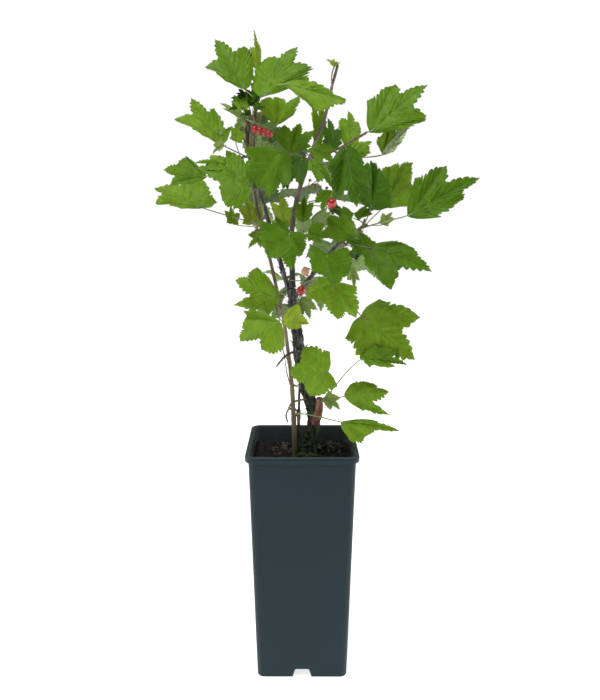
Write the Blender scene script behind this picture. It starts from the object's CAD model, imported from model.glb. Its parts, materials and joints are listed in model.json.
"""The looks of a young red currant bush in its tall square nursery pot.

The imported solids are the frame. The bush grows again here by the part's own places and its seeded rule, with
finer stems, toothed and veined leaves, bark, buds and berries. Sizes in millimetres are turned into metres
by mm(). The viewer of the front view stands on the -Y side.
"""

import json
import math
import random
from collections import namedtuple

import bpy
import numpy as np
from mathutils import Matrix, Vector, noise

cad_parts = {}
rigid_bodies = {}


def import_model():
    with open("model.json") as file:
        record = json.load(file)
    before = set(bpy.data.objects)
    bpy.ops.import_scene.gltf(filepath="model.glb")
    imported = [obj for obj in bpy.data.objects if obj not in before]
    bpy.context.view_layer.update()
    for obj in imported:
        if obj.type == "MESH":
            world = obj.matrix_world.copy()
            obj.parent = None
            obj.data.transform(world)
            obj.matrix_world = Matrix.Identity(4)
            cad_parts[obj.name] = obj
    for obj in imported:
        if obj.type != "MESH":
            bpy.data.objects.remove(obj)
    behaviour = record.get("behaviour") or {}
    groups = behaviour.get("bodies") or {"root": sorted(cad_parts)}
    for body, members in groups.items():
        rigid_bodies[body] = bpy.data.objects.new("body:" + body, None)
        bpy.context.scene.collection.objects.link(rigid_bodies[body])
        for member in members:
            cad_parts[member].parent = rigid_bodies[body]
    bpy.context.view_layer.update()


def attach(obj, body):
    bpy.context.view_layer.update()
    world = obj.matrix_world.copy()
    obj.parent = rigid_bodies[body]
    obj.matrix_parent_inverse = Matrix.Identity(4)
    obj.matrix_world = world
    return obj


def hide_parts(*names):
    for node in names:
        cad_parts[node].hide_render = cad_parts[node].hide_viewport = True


def mm(size):
    """A size in millimetres, as metres."""
    return size / 1000


def even(share):
    """The same share for all four bays of a blade."""
    return (share, share, share, share)


# The pot, as in the part's source
LIP_WIDTH = mm(113.4)
LIP_HEIGHT = mm(6)
POT_HEIGHT = mm(244)
BODY_TOP_WIDTH = mm(107.2)
FOOT_WIDTH = mm(94.2)
WALL = mm(1.8)
CORNER_RADIUS = mm(7.5)
SKIRT_HEIGHT = mm(10)
FLOOR_THICKNESS = mm(2)
NOTCH_FOOT_WIDTH = mm(20)
NOTCH_TOP_WIDTH = mm(14.5)
NOTCH_HEIGHT = mm(9.2)
DRAIN_DIAMETER = mm(10)
DRAIN_SPACING = mm(28)
LIP_SLOT = (mm(1.2), mm(14), mm(2.5))
LIP_SLOT_BACK = mm(22)
SIDE_BOW = mm(0.35)
CORNER_STEPS = 9

# The compost
SOIL_TOP = mm(226)
CLOD_HEIGHT = mm(7)
SOIL_FLAT_RADIUS = mm(17)
HEAPS = ((mm(-15), mm(20), mm(13), mm(8)), (mm(27), mm(15), mm(15), mm(9)))
GAP = mm(0.3)

# The moss at the old stem's foot and a little way up it: (right, up, out, radius)
MOSS_CUSHIONS = (
    (-3, 227, 6, 4.4), (2, 227, 8, 4.9), (8, 227, 9, 4.6), (13, 227, 4, 3.8), (3, 227, -7, 4.2),
    (11, 227, -6, 3.6), (0, 229, 9, 3.6), (2, 234, 5, 3.6), (3, 239, 4.5, 3.2), (2.5, 244, 4, 3.0),
    (4.5, 249, 4, 3.0), (6, 254, 4, 2.6), (7, 240, 5.5, 2.8))

# The front view that the plant's places are measured in
EYE_AWAY = mm(707)
EYE_HEIGHT = mm(476)

# Each limb: its radii at the foot and at the tip, its route as (right, up, out) in the front view, and how
# long it holds its thickness before it tapers (1 tapers evenly)
Limb = namedtuple("Limb", "parent foot_radius tip_radius route hold", defaults=(1.0,))
LIMBS = {
    "old_stem": Limb(None, 6.0, 3.7, (
        (8, 226, 0), (9, 243, 0), (12, 262, 0), (11, 279, 0), (4, 301, -3), (-2, 330, -5), (-5, 356, -4),
        (-9, 386, -2), (-10, 405, -1)), 3.5),
    "young_cane": Limb(None, 3.0, 1.0, (
        (-7.5, 226, 4), (-8.5, 256, 6), (-9.8, 288, 7), (-11.7, 315, 9), (-16, 351, 10), (-20, 378, 11),
        (-27, 409, 11), (-33, 436, 11), (-39, 460, 10), (-44, 480, 9), (-49, 512, 7), (-53, 540, 6),
        (-55, 562, 7)), 0.6),
    "left_bough": Limb("old_stem", 2.6, 1.3, (
        (-8, 380, -2), (-11.5, 394, -3), (-15.5, 408, -4), (-19.5, 421, -5), (-24, 439, -6), (-30, 460, -6),
        (-35, 475, -5), (-41, 496, -5), (-44, 506, -4), (-46, 520, -4), (-48, 539, -3), (-48, 555, -1),
        (-46, 570, 2))),
    "right_shoot": Limb("old_stem", 2.9, 1.2, (
        (-10, 405, -1), (-10, 422, -3), (-11, 443, -5), (-10, 465, -6), (-5, 494, -4), (2, 516, -1),
        (12, 545, 3), (21.5, 569, 5), (28.5, 599, 7), (34, 618, 8))),
    "right_bough": Limb("old_stem", 2.3, 1.6, (
        (-10, 392, -1), (-2.5, 402, 2), (4, 410, 4), (14, 423, 5), (28, 440, 6), (42, 454, 7), (53, 460, 8))),
    "side_twig": Limb("right_shoot", 1.3, 0.9, (
        (4, 530, 2), (18, 534, -2), (30, 538, -4), (49, 548, 0), (58, 553, 4))),
    "pruned_stub": Limb("old_stem", 4.6, 3.2, ((13, 265, 2), (17, 274, 8), (18.5, 290, 11))),
    "dried_twig": Limb("old_stem", 1.3, 0.8, (
        (-3, 340, 0), (-7, 339, 12), (-13, 337, 18), (-20, 332, 20), (-27, 323, 20))),
    "bare_twig": Limb(None, 1.7, 1.0, (
        (-3.5, 226, 3), (-3.7, 250, 3), (-3.6, 266, 3), (-3.3, 280, 4), (-3.2, 292, 5), (-2.5, 308, 6))),
}
FLARE = 1.35
FLARE_HEIGHT = mm(14)
ROUTE_STEP = mm(14)

# One leaf: where its foot is (right, up, out), the clock angle of its tip in degrees and the length of its
# blade in the front view, then, where they were measured, the same two for its other lobes from the left
# base round to the right base. Its width is beside a common leaf's, its lean towards the viewer and its roll
# about the midrib are in degrees, its four bays from the left base round are shares of a common leaf's (more
# than 1 is shallower), and last is its tint.
Leaf = namedtuple(
    "Leaf", "right up out clock size lobes width lean roll bays tint",
    defaults=(None, 0.95, None, None, even(1.0), "fresh"))
COMMON_LEAN = 22
COMMON_ROLL = 36

# One group: the limb it grows on and how far along, its spur's tip, its measured leaves, its berries
# (right, up, out, radius), and how many leaves the seeded rule adds, about which heading, how far to either
# side of it in degrees, and by which seed.
Group = namedtuple("Group", "limb at spur leaves berries added heading spread seed", defaults=((), 0, 90, 60, 0))
GROUPS = {
    "tip_leaves": Group("left_bough", 1.0, (-38, 600, 6), (
        Leaf(-56, 596, 24, -31, 57, ((-61, 20), (-59, 42), (4, 40), (35, 18)), bays=(1.6, 1.15, 1.05, 1.5)),
        Leaf(-36, 590, 36, 34, 57, ((-63, 14), (2, 36), (55, 50), (70, 45)), bays=(1.69, 1.2, 1.1, 1.2)),
        Leaf(-16, 600, 48, 108, 60, ((70, 14), (102, 52), (127, 38), (132, 15)), lean=8, bays=(1.8, 1.5, 1.7, 1.7),
             tint="bright"),
        Leaf(-42, 611, 2, -7, 40, ((-33, 15), (-18, 24), (1, 28), (16, 14)), lean=-10, tint="young"))),
    "tuft_leaves": Group("left_bough", 0.90, (-57, 570, 16), (
        Leaf(-57, 577, 20, -34, 17, tint="bright"),),
        ((-46, 558.5, 15, 3.7), (-41.2, 557, 16.5, 3.9), (-36.4, 555.5, 17, 3.9), (-32, 554, 16, 3.6))),
    "left_leaves": Group("left_bough", 0.77, (-63, 531, 10), (
        Leaf(-79, 545, 24, -34, 55, ((-62, 20), (-61, 51), (-8, 35), (32, 21)), bays=(1.5, 1.1, 1.0, 0.45),
             tint="bright"),
        Leaf(-95, 514, -14, -81, 42, ((-114, 16), (-101, 36), (-47, 28), (-38, 17)), bays=(1.5, 1.15, 1.3, 1.5)),
        Leaf(-51, 505, 48, -70, 58, ((-151, 21), (-117, 31), (-32, 42), (4, 20)), bays=(1.6, 1.1, 0.85, 1.2)),
        Leaf(-65, 548, 24, 4, 17, tint="bright"),
        Leaf(-69, 524, 38, -84, 38, width=0.5, tint="bright"))),
    "far_left_leaves": Group("left_bough", 0.44, (-48, 458, -18), (
        Leaf(-99, 484, -52, -66, 54, ((-86, 22), (-83, 47), (-2, 33), (64, 16)), lean=-12,
             bays=(1.5, 1.25, 1.1, 1.1), tint="bright"),
        Leaf(-70, 469, -34, -5, 17, tint="bright"),
        Leaf(-50, 469, -24, -14, 28, tint="young"),
        Leaf(-36, 459, -26, -128, 23, tint="bright"))),
    "front_leaves": Group("right_shoot", 0.20, (2, 455, 16), (
        Leaf(-13, 459, 56, 175, 36, ((94, 19), (147, 25), (225, 33), (294, 34)), lean=20, bays=even(1.2),
             tint="summer"),
        Leaf(1, 471, 18, 2, 25, ((-61, 10), (-21, 20), (27, 22), (55, 12))),
        Leaf(6, 459, 26, 103, 21, ((23, 13), (58, 19), (124, 16), (180, 8))),
        Leaf(-19, 459, 44, -25, 19))),
    "upper_middle_leaves": Group("right_shoot", 0.46, (-12, 519, 14), (
        Leaf(-21, 539, 50, -167, 47, ((-231, 15), (-195, 34), (-146, 44), (-86, 36)), lean=20, bays=even(1.25),
             tint="summer"),
        Leaf(0, 531, 26, -147, 36, ((-216, 13), (-178, 26), (-120, 33), (-86, 22)), tint="deep"),
        Leaf(-12, 537, -16, 19, 31, ((-46, 28), (-12, 27), (47, 30), (75, 22)), lean=-20))),
    "shoot_leaves": Group("right_shoot", 0.68, (14, 547, 18), (
        Leaf(8, 530, 64, 142, 43, ((103, 12), (129, 25), (158, 23), (195, 10)), lean=15),
        Leaf(11, 541, 44, 128, 27))),
    "twig_leaves": Group("side_twig", 0.5, (42, 539, -22), (
        Leaf(45, 539, -56, 3, 40, ((-30, 22), (-15, 31), (24, 27), (52, 14)), bays=even(1.2), tint="bright"),
        Leaf(45, 534, -52, 58, 27, ((20, 11), (39, 17), (75, 21), (93, 16)), bays=even(1.4), tint="bright"))),
    "right_top_leaves": Group("side_twig", 1.0, (63, 556, 9), (
        Leaf(67, 557, 14, 51, 72, ((-8, 30), (25, 52), (75, 55), (86, 32)), bays=(1.1, 1.03, 1.05, 1.5)),)),
    "right_leaves": Group("side_twig", 0.42, (40, 527, 16), (
        Leaf(42, 542, 76, 170, 58, ((118, 20), (147, 47), (189, 50), (222, 26)), bays=even(1.15), tint="deep"),
        Leaf(79, 535, -8, 11, 29, ((-28, 12), (-13, 17), (25, 27), (31, 15)), lean=-10, bays=even(1.5),
             tint="bright"),
        Leaf(79, 535, -4, 44, 38, ((11, 11), (25, 25), (53, 22), (68, 10)), lean=-10, bays=even(1.6),
             tint="silvery"),
        Leaf(29, 500, 26, -151, 22, ((-231, 8), (-189, 14), (-123, 21), (-86, 14)))),
        ((29, 488.5, 40, 5.0),)),
    "far_right_leaves": Group("right_bough", 1.0, (65, 468, 12), (
        Leaf(106, 477, 38, 61, 74, ((8, 37), (35, 60), (75, 54), (97, 33)), lean=10, bays=(1.15, 1.0, 1.3, 0.85),
             tint="summer"),
        Leaf(68, 484, 34, 5, 46, ((-50, 27), (-12, 41), (14, 38), (85, 21)), bays=(1.4, 1.56, 1.36, 1.4),
             tint="deep"),
        Leaf(81, 486, -22, 32, 52, ((-19, 25), (9, 39), (46, 35), (87, 22)), bays=(1.5, 1.45, 1.66, 1.6),
             tint="bright"),
        Leaf(81, 468, -6, 35, 15, tint="pale"),
        Leaf(55, 474, 22, 62, 22, lean=0, roll=60, tint="summer"),
        Leaf(48, 475, 3, -62, 19, lean=0, roll=60, tint="summer"))),
    "right_low_leaves": Group("right_bough", 0.78, (44, 447, 20), (
        Leaf(66, 445, 54, 109, 67, ((71, 21), (86, 41), (150, 47), (187, 15)), bays=(1.6, 1.5, 1.0, 1.4),
             tint="summer"),
        Leaf(48, 454, 28, -46, 31, ((-106, 14), (-77, 28), (-10, 25), (60, 10)), bays=even(1.4)),
        Leaf(67, 441, 6, 0, 15),
        Leaf(68, 442, 34, -68, 28, tint="summer"))),
    "middle_leaves": Group("right_bough", 0.4, (24, 416, 18), (
        Leaf(25, 437, 66, 165, 30, ((67, 22), (123, 28), (225, 21), (305, 21)), lean=10,
             bays=(1.4, 1.6, 1.4, 1.3), tint="summer"),
        Leaf(48, 424, 14, 168, 20, width=0.7, tint="pale"),
        Leaf(61, 375, 24, 128, 67, ((43, 27), (88, 60), (172, 53), (216, 27)), bays=(1.24, 1.0, 1.15, 1.15),
             tint="bright"),
        Leaf(31, 409, 50, 173, 35, ((97, 25), (144, 43), (247, 31), (298, 15)), lean=20, bays=even(1.2),
             tint="bright"),
        Leaf(-1, 395, -14, 157, 23, ((90, 11), (126, 21), (177, 19), (198, 10)), tint="pale")),
        ((-1, 402, 22, 4.8), (3, 421, 20, 4.2))),
    "low_left_leaves": Group("young_cane", 0.47, (-28, 386, 26), (
        Leaf(-24, 395, 36, -69, 47, ((-150, 22), (-101, 47), (-40, 38), (-27, 23)), lean=0,
             bays=(0.95, 0.85, 1.4, 1.5), tint="bright"),
        Leaf(-24, 370, 54, -116, 43, ((-195, 26), (-150, 34), (-79, 34), (-65, 27)), lean=15,
             bays=(1.6, 1.0, 1.6, 1.5), tint="bright"),
        Leaf(-20, 370, 56, 93, 27, ((27, 16), (43, 25), (110, 18), (132, 11)), bays=even(1.3), tint="young"))),
    "low_right_leaves": Group("old_stem", 0.31, (31, 289, 6), (
        Leaf(62, 332, 40, 95, 46, ((40, 20), (75, 39), (105, 36), (117, 23)), lean=10),
        Leaf(45, 292, 24, 82, 45, ((21, 14), (60, 30), (115, 52), (132, 26)), lean=10,
             bays=(1.6, 1.5, 0.8, 0.9), tint="bright"),
        Leaf(24, 291, 20, 127, 20, tint="pale"),
        Leaf(26, 318, 40, -89, 40, ((-214, 19), (-148, 33), (-43, 36), (6, 21)), lean=10, bays=even(1.3),
             tint="bright"))),
    "foot_leaves": Group("young_cane", 0.12, (-5, 274, 13), (
        Leaf(42, 264, 28, 95, 60, ((78, 13), (82, 29), (121, 29), (156, 22)), lean=10,
             bays=(1.2, 1.3, 1.25, 1.5), tint="bright"),)),
    "back_top_leaves": Group("left_bough", 0.81, (-46, 553, -18), (
        Leaf(-55, 566, -18, -55, 31, ((-67, 8), (-61, 26), (-32, 20), (-13, 8)), tint="pale"),
        Leaf(-25, 563, -14, 7, 27, ((-52, 19), (-24, 27), (39, 35), (60, 19)), bays=(1.5, 1.5, 1.03, 1.4),
             tint="bright"),
        Leaf(-35, 537, -10, 1, 13, tint="pale")), (), 4, 75, 30, 22),
    "back_left_leaves": Group("left_bough", 0.57, (-54, 500, -20), (), (), 4, 95, 30, 24),
    "back_middle_leaves": Group("right_shoot", 0.35, (-4, 486, -24), (
        Leaf(-19, 468, -18, -4, 29, width=1.1, tint="young"),), (), 5, 75, 65, 17),
    "back_shoot_leaves": Group("right_shoot", 0.56, (14, 530, -20), (
        Leaf(28, 539, -22, -4, 33, ((-43, 12), (-20, 27), (25, 22), (57, 14)), tint="deep"),
        Leaf(16, 538, -40, 3, 48, ((-21, 19), (-8, 46), (13, 34), (20, 17)), lean=-10)),
        (), 5, 75, 110, 24),
    "back_right_leaves": Group("right_bough", 0.6, (36, 442, -16), (), (), 5, 75, 40, 6),
    "back_low_leaves": Group("old_stem", 0.89, (-8, 392, -22), (), (), 4, 90, 45, 14),
}
FIRST_SEED = 7

# Small curled leaves that are too fine for the part's source
CURLED_LEAVES = (
    Leaf(-53, 580, 12, -52, 15, tint="deep"),
    Leaf(-54, 583, 8, -30, 16, tint="deep"),
    Leaf(-52, 584, 14, -2, 14, tint="deep"),
    Leaf(-51, 583, 9, 22, 15, tint="deep"),
    Leaf(-58, 582, 10, -60, 13, tint="deep"),
    Leaf(-60, 578, 14, -100, 12, tint="summer"),
    Leaf(-54, 577, 16, -68, 13, tint="fresh"),
    Leaf(-49, 580, 10, 48, 13, tint="summer"),
    Leaf(-46, 576, 13, 75, 12, tint="fresh"),
    Leaf(-48, 588, 6, 10, 17, tint="fresh"),
    Leaf(-50, 572, 15, -95, 11, tint="deep"),
    Leaf(30.2, 615.5, 9, -40, 11, ((-62, 5), (-50, 8), (-8, 6), (6, 4)), tint="young"),
    Leaf(30.2, 615.5, 9, 50, 8, ((12, 3), (28, 5), (66, 5), (80, 3)), tint="young"),
    Leaf(-76, 543, 30, -125, 14, tint="pale"),
)

# The tips of the dry flower stalks that stand at the left bough's head
DRY_STALK_TIPS = (
    (-57, 578, 8), (-54, 575, 14), (-51, 582, 5), (-48.5, 578, 16), (-45, 581, 10), (-42, 584, 4),
    (-39, 579, 12), (-46.5, 569, 18), (-55, 566, 10), (-44, 572, 2), (-50, 574, 0), (-41, 571, 14),
    (-58, 561, 6), (-47, 562, 12))

# Bare twigs: the radius, then places along each
BARE_TWIGS = (
    (0.7, (30.1, 615.5, 9), (28.4, 610, 9), (27.6, 603, 7)),
    (0.55, (-15, 330, 10), (-19, 338, 8), (-21, 349, 7), (-22, 360, 8), (-20, 372, 10)),
    (0.55, (-12.7, 304, 12), (-16, 318, 12), (-17.8, 330, 11), (-20.8, 346, 9)),
    (1.1, (-10, 304, 8), (-6, 303, 10), (-2.4, 301.5, 9)),
    (1.2, (-9, 286, 8), (-4, 287.5, 11), (3.5, 288.8, 7)),
    (1.1, (-10, 286, 9), (-13, 281.5, 10), (-14.3, 278, 9), (-16.3, 274, 10), (-16.8, 269.5, 9), (-15, 264, 9)),
    (1.2, (-14.5, 279, 4), (-8, 277.5, 3), (-2, 276.5, 4)),
    (2.4, (-4.0, 277, 3.5), (-3.6, 270, 3), (-3.8, 262, 3)),
    (2.1, (52.5, 460.5, 8), (57, 463.5, 8), (60.5, 466.5, 8)),
    (1.3, (59.5, 465, 8), (60.5, 468.5, 8.5), (62, 473.5, 9)),
    (0.5, (-12, 412.5, 4), (-6, 412, 8), (0, 412, 10), (4, 412, 9)),
    (0.45, (1.3, 416.5, 20), (0, 412.5, 20), (-1, 408, 21)),
    (0.8, (5, 410.5, 9), (9, 409, 12), (13, 411.5, 14)),
    (0.9, (5, 417, 5), (6.2, 421, 8), (6.4, 424.5, 9)),
    (0.5, (-1, 500, 0), (4, 504, 8), (10, 507, 14), (15.5, 511, 18)),
    (0.45, (3, 503, 6), (8, 501, 12), (16, 502, 16), (22, 500, 18)),
    (0.5, (18, 470, 6), (22, 476, 12), (27, 480, 16)),
)

# Withered flowers: where each small stalk starts and where its flower is
WITHERED_FLOWERS = (
    ((6, 506, 10), (7.5, 510.5, 12)), ((10, 507, 14), (12.5, 504.5, 15)), ((16, 502, 16), (15, 497, 17)),
    ((22, 500, 18), (24, 503, 18)), ((27, 480, 16), (27, 483.5, 16)), ((27, 480, 16), (30, 478.5, 17)),
    ((22, 466, 12), (26.5, 462, 14)), ((1, 462, 14), (1.7, 456, 18)), ((-58, 561, 6), (-61, 558, 7)),
    ((-47, 562, 12), (-43, 565, 14)))

# What the seeded rule chooses from: the leaf stalk's length, its rise, and the blade's length
ADDED_STALK = (mm(28), mm(50))
ADDED_RISE = (math.radians(-20), math.radians(38))
ADDED_BLADE = (mm(38), mm(56))
ADDED_TRIES = 14
ADDED_TINTS = ("fresh", "deep", "fresh", "bright", "deep")

# The room that an added leaf leaves: from blade to blade, from blade to stalk, and to a limb or spur
BLADE_ROOM = mm(8)
STALK_ROOM = mm(4)
LIMB_ROOM = mm(3)

# The blade: the angle from the midrib in degrees and the reach from the foot at each tip and bay of one
# half, for a blade one unit long, and how many teeth stand on the edge from there to the next.
HALF_BLADE = (
    (0, 1.0, 5), (17, 0.50, 3), (40, 0.80, 4), (70, 0.33, 2), (97, 0.43, 1), (125, 0.12, 0), (180, 0.03, 0))
LOBE_TIPS = (0, 2, 4)
BAYS = (1, 3)
TOOTH_HEIGHT = 0.044
EDGE_BULGE = 0.08
BLUNT_BULGE = 0.05
BLADE_HEART = 0.28
BLADE_RINGS = 10
BLADE_THICKNESS = mm(0.32)
PLATE_CENTRE = 0.40
PLATE_REACH = 0.56
BLADE_TROUGH = 0.06
BLADE_CURL = 0.3
BLADE_ARCH = 0.10
BLADE_KINDS = 3

# The lobes of a common leaf, from the left base round to the right: the angle from the midrib in degrees
# and the reach of the tip. An added leaf is folded along its midrib by so many degrees to each side.
LOBES = ((-97, 0.43), (-40, 0.80), (0, 1.0), (40, 0.80), (97, 0.43))
MIDRIB_FOLD = (8, 30)
PLEAT = 0.13

# The veins, in shares of the blade's length: where side veins leave a main vein, and the widths
FIRST_SIDE_VEIN = 0.22
SIDE_VEIN_STEP = 0.14
SIDE_VEIN_SLANT = 0.95
MAIN_VEIN_WIDTH = 0.0075
SIDE_VEIN_WIDTH = 0.0036
VEIN_GROOVE = 0.014
QUILT = 0.011
BROWN_TIP = 0.045

# Leaf stalks and spurs
STALK_RADIUS = mm(0.62)
STALK_POINTS = 4
SPUR_RADII = (mm(2.0), mm(1.5))


def seen(right, up, out):
    """The true place of a point measured in the front view, in millimetres."""
    eye = Vector((0, -EYE_AWAY, EYE_HEIGHT))
    on_plane = Vector((mm(right), 0, mm(up)))
    return eye + (on_plane - eye) * (1 - mm(out) / EYE_AWAY)


def nearness(out):
    """How a size at this depth compares with the same size seen on the plane of the axis."""
    return 1 - mm(out) / EYE_AWAY


# Working with objects

def pick(*objects):
    """Selects these objects alone and makes the last one active."""
    bpy.ops.object.select_all(action="DESELECT")
    for obj in objects:
        obj.select_set(True)
    bpy.context.view_layer.objects.active = objects[-1]


def join(name, objects):
    """Joins the objects into one piece of this name."""
    pick(*objects)
    if len(objects) > 1:
        bpy.ops.object.join()
    piece = bpy.context.object
    piece.name = name
    piece.data.name = name
    return piece


def copy_of(model):
    """A copy with a mesh of its own."""
    made = model.copy()
    made.data = model.data.copy()
    bpy.context.scene.collection.objects.link(made)
    return made


def discard(*objects):
    for obj in objects:
        bpy.data.objects.remove(obj)


def points_of(obj):
    """The object's points as an array with a row for each."""
    flat = np.empty(len(obj.data.vertices) * 3)
    obj.data.vertices.foreach_get("co", flat)
    return flat.reshape(-1, 3)


def set_points(obj, points):
    obj.data.vertices.foreach_set("co", np.ascontiguousarray(points).reshape(-1))
    obj.data.update()


def apply_modifier(obj, kind, **settings):
    """Adds a modifier with these settings and applies it."""
    pick(obj)
    modifier = obj.modifiers.new(kind.lower(), kind)
    for name, value in settings.items():
        setattr(modifier, name, value)
    bpy.ops.object.modifier_apply(modifier=modifier.name)


def settle(piece, slot, materials, *nodes, smooth_angle=None):
    """Gives a finished piece its materials and its place in the frame."""
    pick(piece)
    bpy.ops.object.transform_apply(location=True, rotation=True, scale=True)
    if smooth_angle is None:
        bpy.ops.object.shade_smooth()
    else:
        bpy.ops.object.shade_smooth_by_angle(angle=math.radians(smooth_angle))
    if materials:
        kept = [face.material_index for face in piece.data.polygons]
        piece.data.materials.clear()
        for finish in materials:
            piece.data.materials.append(finish)
        for face, index in zip(piece.data.polygons, kept):
            face.material_index = min(index, len(materials) - 1)
    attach(piece, "root")
    if nodes:
        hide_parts(*nodes)
    return piece


# Materials

def plain(name, colour, roughness):
    made = bpy.data.materials.new(name)
    made.use_nodes = True
    shader = made.node_tree.nodes["Principled BSDF"]
    shader.inputs["Base Color"].default_value = (*colour, 1)
    shader.inputs["Roughness"].default_value = roughness
    return made


def mottled(name, colours, roughness, scale, stretch=(1, 1, 1), bump=0.0, bump_scale=1.0, detail=5.0):
    """A material whose colour runs through the colours given, in patches, with a fine relief."""
    made = plain(name, colours[0], roughness)
    tree = made.node_tree
    shader = tree.nodes["Principled BSDF"]
    place = tree.nodes.new("ShaderNodeTexCoord")
    mapping = tree.nodes.new("ShaderNodeMapping")
    mapping.inputs["Scale"].default_value = stretch
    patches = tree.nodes.new("ShaderNodeTexNoise")
    patches.inputs["Scale"].default_value = scale
    patches.inputs["Detail"].default_value = detail
    patches.inputs["Roughness"].default_value = 0.6
    ramp = tree.nodes.new("ShaderNodeValToRGB")
    steps = ramp.color_ramp.elements
    while len(steps) < len(colours):
        steps.new(0.5)
    for index, (step, colour) in enumerate(zip(steps, colours)):
        step.position = 0.3 + 0.4 * index / (len(colours) - 1)
        step.color = (*colour, 1)
    tree.links.new(place.outputs["Object"], mapping.inputs["Vector"])
    tree.links.new(mapping.outputs["Vector"], patches.inputs["Vector"])
    tree.links.new(patches.outputs["Fac"], ramp.inputs["Fac"])
    tree.links.new(ramp.outputs["Color"], shader.inputs["Base Color"])
    if bump:
        grain = tree.nodes.new("ShaderNodeTexNoise")
        grain.inputs["Scale"].default_value = scale * bump_scale
        grain.inputs["Detail"].default_value = 4
        relief = tree.nodes.new("ShaderNodeBump")
        relief.inputs["Strength"].default_value = 0.6
        relief.inputs["Distance"].default_value = bump
        tree.links.new(mapping.outputs["Vector"], grain.inputs["Vector"])
        tree.links.new(grain.outputs["Fac"], relief.inputs["Height"])
        tree.links.new(relief.outputs["Normal"], shader.inputs["Normal"])
    return made


def darkening(made, low, high, colour):
    """Lets a material run over into another colour between two heights on the plant."""
    tree = made.node_tree
    shader = tree.nodes["Principled BSDF"]
    own = shader.inputs["Base Color"].links[0].from_socket
    place = tree.nodes.new("ShaderNodeTexCoord")
    split = tree.nodes.new("ShaderNodeSeparateXYZ")
    range_of = tree.nodes.new("ShaderNodeMapRange")
    range_of.inputs["From Min"].default_value = low
    range_of.inputs["From Max"].default_value = high
    blend = tree.nodes.new("ShaderNodeMix")
    blend.data_type = "RGBA"
    blend.blend_type = "MULTIPLY"
    blend.inputs["B"].default_value = (1, 1, 1, 1)
    for socket in blend.inputs:
        if socket.name == "B" and socket.type == "RGBA":
            socket.default_value = (*colour, 1)
    tree.links.new(place.outputs["Object"], split.inputs["Vector"])
    tree.links.new(split.outputs["Z"], range_of.inputs["Value"])
    tree.links.new(range_of.outputs["Result"], blend.inputs[0])
    tree.links.new(own, blend.inputs[6])
    tree.links.new(blend.outputs[2], shader.inputs["Base Color"])


def shaded(colour, factor):
    return tuple(min(1, part * factor) for part in colour)


def leaf_finish(name, colour, roughness):
    """A leaf surface: soft patches of one green, with the fine grain of the skin."""
    made = mottled(
        name, (shaded(colour, 0.80), colour, shaded(colour, 1.20)), roughness, 110, bump=mm(0.16), bump_scale=5)
    shader = made.node_tree.nodes["Principled BSDF"]
    shader.inputs["Specular IOR Level"].default_value = 0.11
    return made


BROWNED = (0.12, 0.085, 0.050)
TINTS = {
    "bright": ((0.134, 0.246, 0.011), (0.200, 0.290, 0.085)),
    "fresh": ((0.096, 0.198, 0.007), (0.175, 0.262, 0.080)),
    "summer": ((0.066, 0.150, 0.004), (0.150, 0.230, 0.075)),
    "deep": ((0.040, 0.106, 0.003), (0.135, 0.210, 0.080)),
    "young": ((0.215, 0.310, 0.022), (0.240, 0.330, 0.065)),
    "pale": ((0.220, 0.310, 0.080), (0.290, 0.380, 0.160)),
    "silvery": ((0.400, 0.500, 0.250), (0.400, 0.500, 0.250)),
}


# Smooth routes, as in the part's source

def smooth_route(knots, step):
    """Points about a step apart on a smooth curve through the knots."""
    route = []
    padded = [knots[0] * 2 - knots[1], *knots, knots[-1] * 2 - knots[-2]]
    for before, start, end, after in zip(padded, padded[1:], padded[2:], padded[3:]):
        count = max(1, round((end - start).length / step))
        for index in range(count):
            t = index / count
            route.append(0.5 * (
                2 * start + (end - before) * t + (2 * before - 5 * start + 4 * end - after) * t ** 2
                + (3 * start - before - 3 * end + after) * t ** 3))
    route.append(knots[-1])
    return route


def bent_route(start, start_way, end, end_way, count):
    """Points on a curve that leaves the start along one way and comes to the end along another."""
    reach = (end - start).length * 0.24
    near = start + start_way * reach
    far = end - end_way * reach
    route = []
    for index in range(count):
        t = index / (count - 1)
        s = 1 - t
        route.append(start * s ** 3 + near * 3 * s * s * t + far * 3 * s * t * t + end * t ** 3)
    return route


class Skeleton:
    """A limb's axis and its thickness along it."""

    def __init__(self, points, foot_radius, tip_radius, flared=False, hold=1.0):
        self.points = points
        lengths = [0]
        for one, two in zip(points, points[1:]):
            lengths.append(lengths[-1] + (two - one).length)
        self.length = lengths[-1]
        self.at = [length / lengths[-1] for length in lengths]
        self.radii = []
        for place, length in zip(self.at, lengths):
            radius = foot_radius + (tip_radius - foot_radius) * place ** hold
            if flared and length < FLARE_HEIGHT:
                radius *= 1 + (FLARE - 1) * (1 - length / FLARE_HEIGHT) ** 2
            self.radii.append(radius)

    def place(self, at):
        """The point and the direction at a share of the length."""
        for index in range(len(self.points) - 1):
            if at <= self.at[index + 1] or index == len(self.points) - 2:
                share = (at - self.at[index]) / (self.at[index + 1] - self.at[index])
                one = self.points[index]
                two = self.points[index + 1]
                return one.lerp(two, share), (two - one).normalized()

    def radius(self, at):
        return float(np.interp(at, self.at, self.radii))

    def clearance(self, spot):
        """How far a spot is outside the limb's surface."""
        best = 1
        for index in range(len(self.points) - 1):
            one = self.points[index]
            along = self.points[index + 1] - one
            share = max(0, min(1, (spot - one).dot(along) / along.length_squared))
            radius = self.radii[index] + (self.radii[index + 1] - self.radii[index]) * share
            best = min(best, (one + along * share - spot).length - radius)
        return best


def ring(centre, way, radius, count):
    """Points round a circle that faces along a direction."""
    side = way.orthogonal().normalized()
    other = way.cross(side)
    turn = math.tau / count
    return [centre + (side * math.cos(turn * k) + other * math.sin(turn * k)) * radius for k in range(count)]


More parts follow.
